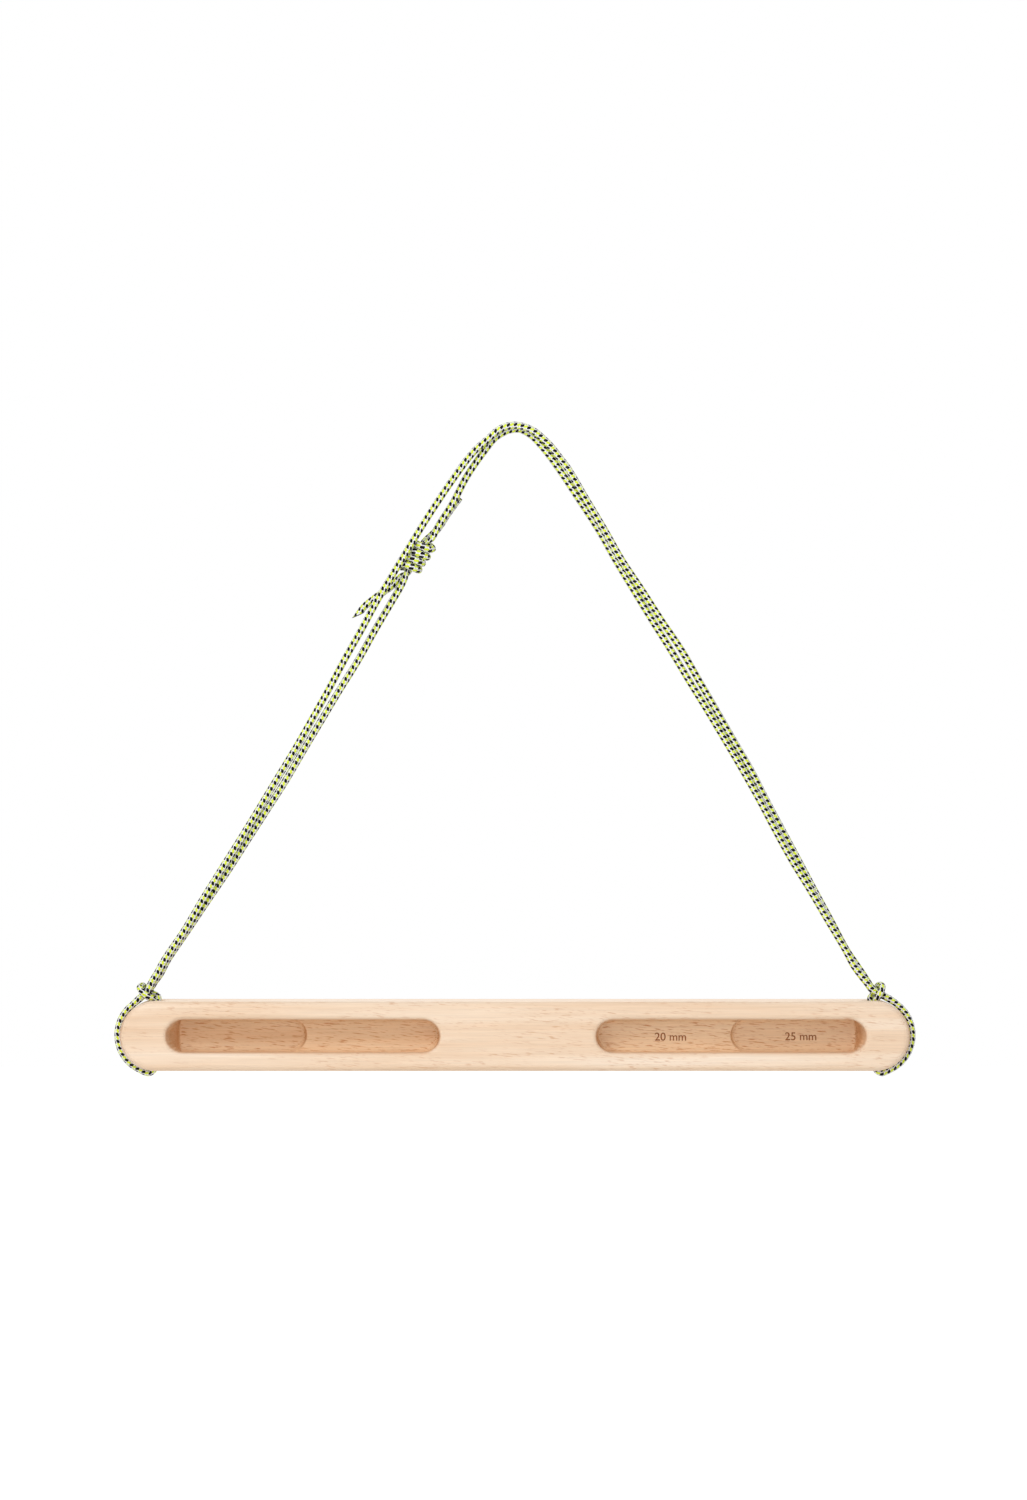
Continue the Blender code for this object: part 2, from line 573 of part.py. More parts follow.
def least_gap(points):
    """The least clear distance between stretches of one tube that aren't next to each other, and where."""
    along = [0.0]
    for a, b in zip(points, points[1:]):
        along.append(along[-1] + (b - a).to_3d().length)
    least = (1.0, 0, 0)
    for i, a in enumerate(points):
        for j, (b, c) in enumerate(zip(points, points[1:])):
            if min(abs(along[j] - along[i]), abs(along[j + 1] - along[i])) < 3.0 * (a.w + b.w):
                continue
            run = (c - b).to_3d()
            share = max(0.0, min(1.0, (a - b).to_3d().dot(run) / max(run.length_squared, 1e-12)))
            nearest = b.to_3d() + run * share
            least = min(least, ((a.to_3d() - nearest).length - a.w - b.w, i, j))
    return least


def hinge_cutters(collection):
    """What parts the strands from the hitches: a barrel, and a half pipe that leaves the barrel's inside."""
    reach = BAR_LENGTH / 2 + 2 * CORD_DIAMETER
    bpy.ops.mesh.primitive_cylinder_add(
        vertices=48, radius=HINGE_STUB_RADIUS + HINGE_GAP, depth=2 * reach, location=(0, 0, HINGE_Z),
        rotation=(0, math.pi / 2, 0),
    )
    barrel = bpy.context.object
    barrel.name = "hinge_barrel"
    for holder in list(barrel.users_collection):
        holder.objects.unlink(barrel)
    collection.objects.link(barrel)
    steps = 24
    outer = HINGE_STUB_RADIUS + 4 * CORD_DIAMETER
    rings = []
    for x in (-reach, reach):
        ring = []
        for radius, order in ((HINGE_STUB_RADIUS, 1), (outer, -1)):
            for i in range(steps + 1)[::order]:
                angle = math.pi * i / steps
                ring.append((x, radius * math.cos(angle), HINGE_Z + radius * math.sin(angle)))
        rings.append(ring)
    saddle = loft("hinge_saddle", rings, collection)
    return barrel, saddle


def cord(parts, cutters, material):
    """The one cord, as the stretches that hang from the hook and the two hitches that turn with the bar."""
    barrel, saddle = hinge_cutters(cutters)
    upper = full_strand(INNER_STRAND) + knot_end(False, LOWER_TAIL)
    lower = full_strand(LOWER_STRAND) + knot_end(True, UPPER_TAIL)
    left = hitch_route(-1, LEFT_FRONT_STRAND, LEFT_REAR_STRAND, LEFT_CROSSING, LEFT_MOUTH)
    right = hitch_route(1, RIGHT_FRONT_STRAND, RIGHT_REAR_STRAND, RIGHT_CROSSING, RIGHT_MOUTH)
    routes = (
        ("outer_strand", full_strand(OUTER_STRAND), barrel),
        ("knotted_strand_upper", upper, barrel),
        ("knotted_strand_lower", lower, barrel),
        ("left_hitch", left, saddle),
        ("right_hitch", right, saddle),
    )
    total = 0.0
    for name, route, cutter in routes:
        points = smoothed(route)
        total += sum((b - a).to_3d().length for a, b in zip(points, points[1:]))
        gap, i, j = least_gap(points)
        print(f"{name}: {len(points)} points, least gap to itself {gap / MM:.2f} mm, at {i} and {j}")
        tube = curve_to_mesh(cord_tube(name, points, parts), name, parts)
        cut(tube, cutter)
        shade(tube, material)
    print(f"cord length {total - len(routes) * CUT_OFF_STUB:.3f} m")


def main():
    clear_scene()
    parts = new_collection("portable_hangboard")
    cutters = new_collection("cutters")
    wood = principled("rubberwood", (0.83, 0.63, 0.45), 0.55)
    polyester = principled("polyester_cord", (0.62, 0.72, 0.22), 0.8)
    wooden_bar(parts, cutters, wood)
    cord(parts, cutters, polyester)


main()
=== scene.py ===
"""Looks for the portable hangboard: sanded rubberwood, and a braided cord flecked black and neon yellow.

The cord hangs from its top bend at the origin. X runs along the bar, the front looks towards -Y, Z is up.
Lengths are in metres, and MM turns millimetres into them.
"""

import math

import bpy
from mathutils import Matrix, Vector


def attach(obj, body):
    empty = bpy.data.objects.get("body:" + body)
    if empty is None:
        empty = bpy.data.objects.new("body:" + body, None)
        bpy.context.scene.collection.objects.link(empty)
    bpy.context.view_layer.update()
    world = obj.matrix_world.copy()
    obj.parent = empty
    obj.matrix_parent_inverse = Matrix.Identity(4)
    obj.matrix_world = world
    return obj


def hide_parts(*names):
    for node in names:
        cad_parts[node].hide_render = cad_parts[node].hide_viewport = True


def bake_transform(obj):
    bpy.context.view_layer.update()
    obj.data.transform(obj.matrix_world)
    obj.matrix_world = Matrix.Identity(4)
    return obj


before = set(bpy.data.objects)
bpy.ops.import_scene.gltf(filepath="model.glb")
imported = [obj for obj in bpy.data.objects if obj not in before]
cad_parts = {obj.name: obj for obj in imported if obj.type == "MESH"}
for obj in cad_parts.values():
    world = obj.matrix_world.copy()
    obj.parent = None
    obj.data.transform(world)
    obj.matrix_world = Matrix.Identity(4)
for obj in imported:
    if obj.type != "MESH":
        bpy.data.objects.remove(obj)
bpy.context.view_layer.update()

MM = 0.001

# The bar, as the frame has it
END_RADIUS = 22.5 * MM
END_CENTRE_X = 232.5 * MM
BAR_CENTRE_Z = -390 * MM
HALF_THICKNESS = 22.5 * MM
DEEPEST_POCKET = 25 * MM
# All four pockets lie within these distances of the bar's long axis and of its middle
POCKET_BAND = 13 * MM
POCKET_REACH = 228 * MM

# The cord, and how far it is squeezed where it bears on the wood or on itself
CORD_DIAMETER = 4.6 * MM
BIGHT_DIAMETER = 4.2 * MM
END_WRAP_DIAMETER = 4.2 * MM
WRAP_DIAMETER = 4.8 * MM
CORE_DIAMETER = 3 * MM
CORD_TO_WOOD = 0.3 * MM
STRAND_GAP = 0.5 * MM
LOOP_GAP = 0.82 * MM

# The knot
KNOT_CENTRE = Vector((-64.1, 6.4, -79.9)) * MM
KNOT_LEAN = math.radians(33.5)
KNOT_PITCH = 5 * MM
KNOT_GAP = 0.25 * MM
WRAP_STEP = 15  # degrees from one point of a wrap to the next
# Where each standing strand nears the knot: two points (distance off the axis, angle in degrees)
UPPER_ENTRY = ((3.2 * MM, 306), (2.3 * MM, 284))
LOWER_ENTRY = ((2.5 * MM, 240), (2.2 * MM, 264))

CORD_RADIUS = CORD_DIAMETER / 2
BIGHT_RADIUS = BIGHT_DIAMETER / 2
END_WRAP_RADIUS = END_WRAP_DIAMETER / 2
WRAP_RADIUS = WRAP_DIAMETER / 2
CORE_RADIUS = CORE_DIAMETER / 2
STRAND_Y = (CORD_DIAMETER + STRAND_GAP) / 2
CORE_OFFSET = (CORE_DIAMETER + KNOT_GAP) / math.sqrt(3)
WRAP_OFFSET = CORE_OFFSET + CORE_RADIUS + KNOT_GAP + WRAP_RADIUS

# How the cord's surface is drawn
CORD_SIDES = 20
CORD_RING_STEP = 1.5 * MM
TIP_DARK = 0.5 * MM  # how far the melting of a cut end shows along the cord
CUT_REACH = 5 * MM  # how far up the cord the slant of a cut end is felt
# The rounding of a sealed end, as shares of the cord's radius: (rise, width)
SEALED_END = ((0.1, 0.97), (0.18, 0.88), (0.22, 0.6))
FLECK_PERIOD_MM = 4.5  # from one black fleck to the next along the cord
FLECK_COLUMNS = 5
YARNS_ROUND = 62  # each 0.23 mm wide
YARNS_ALONG = 2  # in each period of the flecks
# How far the braid has turned round the cord at some lengths from its start: (length, share of a turn)
MAIN_TURNS = (
    (250 * MM, -0.067), (349 * MM, -0.083), (412 * MM, -0.167), (462 * MM, -0.2), (545 * MM, -0.186),
    (625 * MM, -0.233), (680 * MM, -0.25), (793 * MM, -0.35), (866 * MM, -0.399), (911 * MM, -0.406),
    (969 * MM, -0.458), (1026 * MM, -0.506), (1385 * MM, -0.45), (1547 * MM, -0.467),
    (1620 * MM, -0.483), (1735 * MM, -0.506), (1865 * MM, -0.472),
)
REAR_TURNS = ((170 * MM, -0.056), (260 * MM, -0.06), (300 * MM, -0.05), (374 * MM, 0.006))
LOWER_CUT_FACING = (0.4, 0, -0.92)  # the way the lower tail's slanting cut faces

# The camera: square on to the bar, framed as the photograph is
CAMERA_PLACE = (-0.97 * MM, -4.0, -205.4 * MM)
LENS_MM = 148.1
SENSOR_HEIGHT_MM = 36
VIEW_REACH = 50

# The size marks, burnt into the floors of the right pocket
MARK_HEIGHT = 7.4 * MM
MARK_Z = -391.4 * MM
MARK_RELIEF = 0.03 * MM
MARK_STROKE = 0.05 * MM  # how much bolder the strokes are burnt than the letters are drawn
MARK_LIFT = 0.06 * MM
CHAR_GRAIN_MM = 2 / 3

# The room
WHITE = "#FFFFFF"
ROOM_LIGHT = 0.45
FLOOR_GLOW = 0.6
FLOOR_SIZE = 12
FLOOR_Z = -0.72
# (name, place, what it points at, size, watts)
LAMPS = (
    ("key", (-0.9, -2.2, 1.6), (0, 0, -0.35), (1.8, 1.4), 44),
    ("fill", (-0.1, -2.7, 0.2), (0, 0, -0.35), (1.6, 1.6), 15),
    ("rear", (0.2, 2.2, 1.2), (0, 0, -0.3), (2.0, 1.2), 24),
)


def placed(name, data):
    """An object that holds data, put in the scene."""
    made = bpy.data.objects.new(name, data)
    bpy.context.scene.collection.objects.link(made)
    return made


def camera():
    """The main camera, which renders the photograph's view."""
    data = bpy.data.cameras.new("camera")
    data.sensor_fit = "VERTICAL"
    data.sensor_height = SENSOR_HEIGHT_MM
    data.lens = LENS_MM
    data.clip_end = VIEW_REACH
    made = placed("camera", data)
    made.location = CAMERA_PLACE
    made.rotation_euler = (math.pi / 2, 0, 0)
    bpy.context.scene.camera = made


# Materials


def linear(value):
    """An sRGB hex colour as linear RGBA."""
    channels = [int(value[i : i + 2], 16) / 255 for i in (1, 3, 5)]
    channels = [c / 12.92 if c <= 0.04045 else ((c + 0.055) / 1.055) ** 2.4 for c in channels]
    return (*channels, 1.0)


# The places of a colour Mix node's factor, of its two colours and of its result
SHARE, UNDER, OVER, MIXED = 0, 6, 7, 2
BLENDED = {"data_type": "RGBA"}
MULTIPLIED = {"data_type": "RGBA", "blend_type": "MULTIPLY"}


def add(tree, kind, inputs=(), output=0, stops=(), **settings):
    """Add one node, set what it holds, and feed it: the output that the next node reads, or all for None.

    inputs holds values or other nodes' outputs, in order or by name. stops are those of a ramp: (place, hex
    colour or grey level).
    """
    made = tree.nodes.new("ShaderNode" + kind)
    for name, value in settings.items():
        setattr(made, name, value)
    for place, value in inputs.items() if isinstance(inputs, dict) else enumerate(inputs):
        if isinstance(value, bpy.types.NodeSocket):
            tree.links.new(value, made.inputs[place])
        else:
            made.inputs[place].default_value = value
    if stops:
        marks = made.color_ramp.elements
        while len(marks) < len(stops):
            marks.new(0.5)
        for mark, (place, value) in zip(marks, stops):
            mark.position = place
            mark.color = linear(value) if isinstance(value, str) else (value, value, value, 1)
    return made.outputs if output is None else made.outputs[output]


def empty_material(name):
    """A material with nothing in its node tree yet: (material, tree)."""
    material = bpy.data.materials.new(name)
    material.use_nodes = True
    material.node_tree.nodes.clear()
    return material, material.node_tree


def rubberwood():
    """Rubberwood, sanded and left bare.

    Pale straw, with soft darker bands and short brown pores along X. With no varnish on it, it takes a broad
    soft light and shows no sharp reflection.
    """
    material, tree = empty_material("sanded_rubberwood")
    place = add(tree, "TexCoord", output="Object")

    def along_grain(long_mm, wide_mm, shift, slope=0.0):
        """Object coordinates drawn out along the bar: one unit is long_mm long and wide_mm wide."""
        turned = add(tree, "Mapping", {"Vector": place, "Rotation": (0.0, slope, 0.0)})
        scale = (1000 / long_mm, 1000 / wide_mm, 1000 / wide_mm)
        return add(tree, "Mapping", {"Vector": turned, "Location": (shift, shift, 0), "Scale": scale})

    # Broad bands of a board's growth, about 9 mm wide, swaying a little
    sway = add(
        tree, "TexNoise", {"Vector": along_grain(120, 60, 2.0), "Scale": 1.0, "Detail": 2.0}, "Color"
    )
    swayed = add(
        tree, "VectorMath", (sway, (0.0, 0.6, 0.6), along_grain(260, 9, 5.0)), operation="MULTIPLY_ADD"
    )
    bands = add(tree, "TexNoise", {"Vector": swayed, "Scale": 1.0, "Detail": 3.0, "Roughness": 0.55})
    band_colours = ((0.30, "#E1C1A2"), (0.45, "#E6CAAE"), (0.58, "#EAD2B9"), (0.75, "#EEDAC5"))
    colour = add(tree, "ValToRGB", (bands,), stops=band_colours)

    # Fibre: real fibres are far too fine to show, so their bundles are drawn 0.9 mm wide
    fibre = add(tree, "TexNoise", {"Vector": along_grain(45, 0.9, 1.0), "Scale": 1.0, "Detail": 4.0})
    fibre_tone = add(tree, "ValToRGB", (fibre,), stops=((0.35, 0.92), (0.65, 1.03)))
    colour = add(tree, "Mix", {SHARE: 0.8, UNDER: colour, OVER: fibre_tone}, MIXED, **MULTIPLIED)

    # Pores: real ones are about 0.3 mm wide, too fine to show, so the dashes are drawn 0.8 mm wide and
    # 7.5 mm long. They slope a little across the board, and gather in streaks.
    pores = add(tree, "TexNoise", {"Vector": along_grain(7.5, 0.8, 7.0, -0.1), "Scale": 1.0, "Detail": 2.0})
    pore_mask = add(tree, "ValToRGB", (pores,), stops=((0.56, 0.0), (0.68, 1.0)))
    gather = add(tree, "TexNoise", {"Vector": along_grain(60, 8, 3.0), "Scale": 1.0, "Detail": 1.0})
    gathered = add(tree, "ValToRGB", (gather,), stops=((0.4, 0.0), (0.62, 0.5)))

    # The router opens the grain, so pocket floors show more pores. The floors are also browner the deeper
    # they lie: partly the routed wood's own colour, partly painted shade of the recess
    from_middle, from_face, height = add(tree, "SeparateXYZ", (place,), None)
    from_middle = add(tree, "Math", (from_middle,), operation="ABSOLUTE")
    from_face = add(tree, "Math", (from_face,), operation="ABSOLUTE")
    depth = add(tree, "Math", (HALF_THICKNESS, from_face), operation="SUBTRACT")
    from_axis = add(tree, "Math", (height, BAR_CENTRE_Z), operation="SUBTRACT")
    from_axis = add(tree, "Math", (from_axis,), operation="ABSOLUTE")
    in_band = add(tree, "Math", (from_axis, POCKET_BAND), operation="LESS_THAN")
    in_reach = add(tree, "Math", (from_middle, POCKET_REACH), operation="LESS_THAN")
    in_pocket = add(tree, "Math", (in_band, in_reach), operation="MULTIPLY")
    depth = add(tree, "Math", (depth, 1 / DEEPEST_POCKET), operation="MULTIPLY")
    depth = add(tree, "Math", (depth, in_pocket), operation="MULTIPLY")
    opened = add(tree, "ValToRGB", (depth,), stops=((0.04, 0.0), (0.5, 0.8)))
    pore_strength = add(tree, "Math", (opened, gathered), operation="MAXIMUM")
    pore_share = add(tree, "Math", (pore_mask, pore_strength), operation="MULTIPLY")
    pore_brown = linear("#BD8050")
    colour = add(tree, "Mix", {SHARE: pore_share, UNDER: colour, OVER: pore_brown}, MIXED, **BLENDED)
    # Painted shade: this tint darkens the pocket floors more the deeper they lie, as shade in a recess does;
    # part of it is the routed wood's own brown
    floor_brown_and_shade_tints = ((0.04, WHITE), (0.35, "#FBF3E6"), (0.8, "#FFF6E6"), (1.0, "#FEF1DE"))
    floor_brown_and_shade = add(tree, "ValToRGB", (depth,), stops=floor_brown_and_shade_tints)
    colour = add(tree, "Mix", {SHARE: 1.0, UNDER: colour, OVER: floor_brown_and_shade}, MIXED, **MULTIPLIED)

    # End grain is browner: where the pockets' end walls and the bar's round ends cross the fibre
    facing = add(tree, "SeparateXYZ", (add(tree, "TexCoord", output="Normal"),))
    facing = add(tree, "Math", (facing,), operation="ABSOLUTE")
    end_grain = add(tree, "ValToRGB", (facing,), stops=((0.6, 0.0), (0.95, 0.8)))
    end_brown = linear("#E6CFB8")
    colour = add(tree, "Mix", {SHARE: end_grain, UNDER: colour, OVER: end_brown}, MIXED, **MULTIPLIED)

    relief = add(tree, "Math", (fibre, pore_share), operation="SUBTRACT")
    surface = {
        "Base Color": colour,
        "Roughness": add(tree, "ValToRGB", (fibre,), stops=((0.3, 0.62), (0.7, 0.52))),
        "Normal": add(tree, "Bump", {"Strength": 0.25, "Distance": 0.1 * MM, "Height": relief}),
        "IOR": 1.5,
        "Specular IOR Level": 0.35,
    }
    add(tree, "OutputMaterial", {"Surface": add(tree, "BsdfPrincipled", surface)}, None)
    return material


def braided_cord():
    """Polyester cord, its sheath plaited from pale yarns with picks of black and neon yellow by turns.

    The yarns scatter the light, so the cord is matt, and a darker seam sets each pick off from the next. The
    map's U goes once round the cord, and its V is the length along it in periods of the flecks.
    """
    material, tree = empty_material("braided_polyester_cord")
    place = add(tree, "UVMap", uv_map="round_and_along")
    around, along, _ = add(tree, "SeparateXYZ", (place,), None)
    columns = add(tree, "Math", (around, FLECK_COLUMNS), operation="MULTIPLY")

    def picks(half_wide, half_long, slant, shift_round=0.0, shift_along=0.0):
        """Rows of slanted ovals in columns along the cord: (how far inside one, which row).

        A pick's sizes are shares of its cell, which is one column wide and half a period long.
        """
        across = add(tree, "Math", (columns, shift_round), operation="ADD")
        column = add(tree, "Math", (across,), operation="FLOOR")
        onward = add(tree, "Math", (along, shift_along), operation="ADD")
        onward = add(tree, "Math", (onward, 2.0), operation="MULTIPLY")
        row = add(tree, "Math", (onward,), operation="FLOOR")
        y = add(tree, "Math", (onward, row), operation="SUBTRACT")
        y = add(tree, "Math", (y, 0.5), operation="SUBTRACT")
        x = add(tree, "Math", (across, column), operation="SUBTRACT")
        x = add(tree, "Math", (x, 0.5), operation="SUBTRACT")
        x = add(tree, "Math", (y, slant, x), operation="MULTIPLY_ADD")
        inside = 1.0
        # the sides are round, and the ends a little blunter
        for offset, half, bluntness in ((x, half_wide, 2.0), (y, half_long, 2.6)):
            share = add(tree, "Math", (offset, half), operation="DIVIDE")
            share = add(tree, "Math", (share,), operation="ABSOLUTE")
            share = add(tree, "Math", (share, bluntness), operation="POWER")
            inside = add(tree, "Math", (inside, share), operation="SUBTRACT")
        return inside, row

    flecks, row = picks(half_wide=0.37, half_long=0.8, slant=0.33)
    ground, _ = picks(half_wide=0.33, half_long=0.56, slant=-0.38, shift_round=0.5, shift_along=0.25)
    row = add(tree, "Math", (row,), operation="ABSOLUTE")
    odd = add(tree, "Math", (row, 2.0), operation="MODULO")
    is_black = add(tree, "Math", (odd, 0.5), operation="GREATER_THAN")
    # The yellow picks show less than the black: their rims stay pale
    yellow_rim = 0.3
    showing = add(tree, "Math", (flecks, yellow_rim), operation="SUBTRACT")
    showing = add(tree, "Math", (is_black, yellow_rim, showing), operation="MULTIPLY_ADD")
    fleck_mask = add(tree, "ValToRGB", (showing,), stops=((0.0, 0.0), (0.08, 1.0)))

    # Single yarns in each pick: real ones are about 0.1 mm wide, too fine to show, so they are drawn wider
    yarns_at = add(tree, "Mapping", {"Vector": place, "Scale": (YARNS_ROUND, YARNS_ALONG, 1.0)})
    yarns = add(tree, "TexNoise", {"Vector": yarns_at, "Scale": 1.0, "Detail": 1.0})
    pale = add(tree, "ValToRGB", (yarns,), stops=((0.3, "#DEDEE4"), (0.7, "#F8F8FB")))
    yellow = add(tree, "ValToRGB", (yarns,), stops=((0.3, "#CBE02E"), (0.7, "#E6F050")))
    black = add(tree, "ValToRGB", (yarns,), stops=((0.3, "#040405"), (0.7, "#0C0B0D")))
    fleck = add(tree, "Mix", {SHARE: is_black, UNDER: yellow, OVER: black}, MIXED, **BLENDED)
    colour = add(tree, "Mix", {SHARE: fleck_mask, UNDER: pale, OVER: fleck}, MIXED, **BLENDED)

    # Where one yarn dives under the next it is in shade
    top = add(tree, "Math", (flecks, ground), operation="MAXIMUM")
    seam = add(tree, "ValToRGB", (top,), stops=((0.0, 0.76), (0.3, 1.0)))
    colour = add(tree, "Mix", {SHARE: 1.0, UNDER: colour, OVER: seam}, MIXED, **MULTIPLIED)

    # The ends are melted off: black and hard
    melted = add(tree, "Attribute", output="Fac", attribute_name="melted")
    char = linear("#1A181B")
    colour = add(tree, "Mix", {SHARE: melted, UNDER: colour, OVER: char}, MIXED, **BLENDED)

    # Each pick stands up from its seams, and each yarn a little from the next
    bulge = add(tree, "ValToRGB", (top,), stops=((0.0, 0.0), (0.5, 0.8), (1.0, 1.0)))
    bulge.node.color_ramp.interpolation = "EASE"
    ridges = add(tree, "Math", (yarns, 0.2), operation="MULTIPLY")
    relief = add(tree, "Math", (bulge, ridges), operation="ADD")
    surface = {
        "Base Color": colour,
        "Normal": add(tree, "Bump", {"Strength": 0.8, "Distance": 0.3 * MM, "Height": relief}),
        "Roughness": 0.7,
        "IOR": 1.5,
        "Specular IOR Level": 0.12,
    }
    add(tree, "OutputMaterial", {"Surface": add(tree, "BsdfPrincipled", surface)}, None)
    return material


def burnt_mark():
    """Rubberwood charred by a marking laser: brown and quite matt, a little lighter and darker by turns."""
    material, tree = empty_material("burnt_wood_mark")
    place = add(tree, "TexCoord", output="Object")
    char = add(tree, "TexNoise", {"Vector": place, "Scale": 1000 / CHAR_GRAIN_MM, "Detail": 2.0})
    colour = add(tree, "ValToRGB", (char,), stops=((0.35, "#7E4524"), (0.65, "#9C6238")))
    surface = add(tree, "BsdfPrincipled", {"Base Color": colour, "Roughness": 0.8})
    add(tree, "OutputMaterial", {"Surface": surface}, None)
    return material


# The cord's route


def full_strand(points):
    """Route points (x, y, z) in millimetres as (x, y, z, radius) in metres."""
    return [Vector((x * MM, y * MM, z * MM, CORD_RADIUS)) for x, y, z in points]


# Over the hook, from the left hitch to the right
OUTER_STRAND = (
    (-232.3, -2.65, -351.0), (-227.1, -2.6, -341.5), (-214.0, -2.6, -322.1), (-202.45, -2.4, -302.6),
    (-190.4, -2.0, -283.2), (-178.15, -1.9, -263.7), (-166.3, -1.5, -244.3), (-154.6, -1.0, -224.9),
    (-142.75, -1.0, -205.4), (-131.75, -1.0, -186.0), (-120.9, -1.2, -166.5), (-110.55, -1.8, -147.1),
    (-99.6, -2.5, -127.7), (-89.05, -3.0, -108.2), (-77.4, -3.1, -88.8), (-65.7, -3.1, -69.3),
    (-53.55, -3.0, -49.9), (-40.55, -2.7, -30.5), (-27.0, -2.4, -12.5), (-16.9, -2.4, -3.4),
    (-11.0, -2.4, 1.8), (-5.2, -2.4, 4.4), (0.6, -2.4, 5.0), (6.5, -2.4, 3.8), (12.3, -2.4, 1.2),
    (18.1, -2.3, -3.6), (23.3, -2.4, -8.8), (28.7, -2.5, -15.7), (34.0, -2.7, -22.7), (46.1, -2.9, -43.0),
    (58.0, -2.9, -62.9), (69.1, -2.4, -82.3), (82.1, -1.6, -101.7), (94.7, -0.9, -121.2),
    (107.85, -0.2, -140.6), (119.1, 0.1, -160.1), (130.35, 0.6, -179.5), (141.5, 1.0, -198.9),
    (152.85, 1.4, -218.4), (162.8, 1.9, -237.8), (173.2, 1.8, -257.3), (183.6, 1.7, -276.7),
    (193.9, 2.3, -296.1), (204.5, 2.6, -315.6), (214.9, 2.7, -335.0), (221.4, 2.6, -344.7),
    (225.7, 2.6, -351.0),
)
# Over the hook from the right hitch to the knot
INNER_STRAND = (
    (223.8, -2.6, -351.0), (219.3, -2.6, -344.7), (214.2, -2.75, -335.0), (202.7, -2.6, -315.6),
    (191.25, -2.3, -296.1), (179.45, -1.7, -276.7), (168.75, -1.8, -257.3), (158.45, -1.9, -237.8),
    (147.6, -1.4, -218.4), (136.15, -1.0, -198.9), (124.6, -0.6, -179.5), (112.65, -0.1, -160.1),
    (101.0, 0.2, -140.6), (88.85, 0.8, -121.2), (77.05, 1.6, -101.7), (65.35, 2.4, -82.3),
    (54.45, 2.8, -62.9), (41.9, 2.8, -43.4), (26.4, 2.7, -20.1), (16.9, 2.6, -7.8), (10.1, 2.6, -1.0),
    (3.3, 2.6, 2.5), (-3.9, 2.6, 2.0), (-9.0, 2.6, -0.3), (-13.6, 2.6, -3.6), (-19.5, 2.7, -11.0),
    (-24.5, 2.8, -17.8), (-31.6, 3.0, -28.5), (-40.3, 3.4, -45.2), (-49.85, 3.9, -60.3),
)
# From the left hitch up to the knot
LOWER_STRAND = (
    (-230.3, 2.65, -351.0), (-225.3, 2.6, -341.5), (-212.2, 2.6, -322.1), (-199.1, 2.4, -302.6),
    (-185.9, 2.0, -283.2), (-173.45, 1.9, -263.7), (-160.9, 1.5, -244.3), (-148.5, 1.0, -224.9),
    (-137.05, 1.0, -205.4), (-125.45, 1.0, -186.0), (-113.75, 1.3, -166.5), (-101.7, 2.2, -147.1),
    (-90.85, 3.0, -127.7), (-79.4, 3.8, -108.2), (-73.8, 4.1, -98.5),
)
LOWER_TAIL = ((-73.3, 9.8, -92.4), (-79.6, 9.2, -98.6), (-90.6, 7.1, -106.4), (-98.2, 6.1, -112.8),
              (-101.8, 5.5, -117.9))
UPPER_TAIL = ((-54.95, 9.9, -66.5), (-49.25, 9.3, -60.6), (-44.5, 8.9, -53.2), (-36.2, 8.6, -41.8))

# The hitches, beside the bar's round ends: (out, up, y) in millimetres, as end_point takes them
LEFT_FRONT_STRAND = ((2.2, 35.3, -2.75), (4.4, 30.8, -2.75), (6.2, 27.8, -2.75),
                     (9.4, 24.8, -2.75), (12.1, 22.4, -2.75))
LEFT_REAR_STRAND = ((0.6, 35.3, 2.75), (3.5, 30.8, 2.75), (6.2, 27.8, 2.75),
                    (9.4, 24.8, 2.75), (12.1, 22.4, 2.75))
RIGHT_FRONT_STRAND = ((-4.2, 33.4, -2.75), (-1.4, 29.6, -2.75), (2.3, 27.2, -2.75),
                      (6.9, 25.0, -2.75), (11.2, 22.6, -2.75))
RIGHT_REAR_STRAND = ((-3.9, 34.4, 2.75), (-0.9, 30.0, 2.75), (2.6, 27.3, 2.75),
                     (6.9, 25.0, 2.75), (11.2, 22.6, 2.75))
# Where the loop bends over both strands, and which way they run there: (out, up)
LEFT_CROSSING = ((6.2, 27.8), (0.667, -0.744))
RIGHT_CROSSING = ((2.3, 27.5), (0.877, -0.480))
# The loop on its way out of the hole's top mouth, and back in
LEFT_MOUTH = (((0.9, 17.5, -2.6), (1.2, 20.8, -3.3), (2.3, 23.5, -4.6)),
              ((-0.8, 24.6, 5.2), (-1.0, 22.4, 3.9), (-0.4, 19.5, 2.9)))
RIGHT_MOUTH = (((0.9, 17.5, -2.6), (1.0, 20.7, -3.5), (1.3, 23.4, -5.5)),
               ((-1.8, 23.8, 5.2), (-1.6, 21.6, 3.8), (-0.4, 19.3, 2.9)))
LOOP_TILT = 1.5  # how far the loop's front half leans out beyond its middle
LOOP_ANGLES = (-35, -10, 15, 40, 65, 90)  # from the loop's front foot to its top, in degrees
# Where a strand comes on to the bar's round end and where it leaves it, in degrees
END_WRAP_ANGLES = (55, -68)
END_WRAP_STEPS = 8
# A strand below the bar, on its way into the hole, and in the hole: (out, up)
LOWER_TURN = ((5.3, -24.7), (2.8, -23.9), (1.3, -21.9), (0.9, -19.3))
HOLE_RUN = ((0.8, -10.0), (0.8, 10.0))
MEETING = (0.8, 0.0)  # where the cord's two pieces meet
HOLE_SQUEEZE = 0.97  # the strands lie a little closer together in the hole


def end_point(side, out, up, y, radius=CORD_RADIUS):
    """A point beside a round end of the bar: out is from the end's centre, away from the bar's middle."""
    return Vector((side * (END_CENTRE_X + out * MM), y * MM, BAR_CENTRE_Z + up * MM, radius))


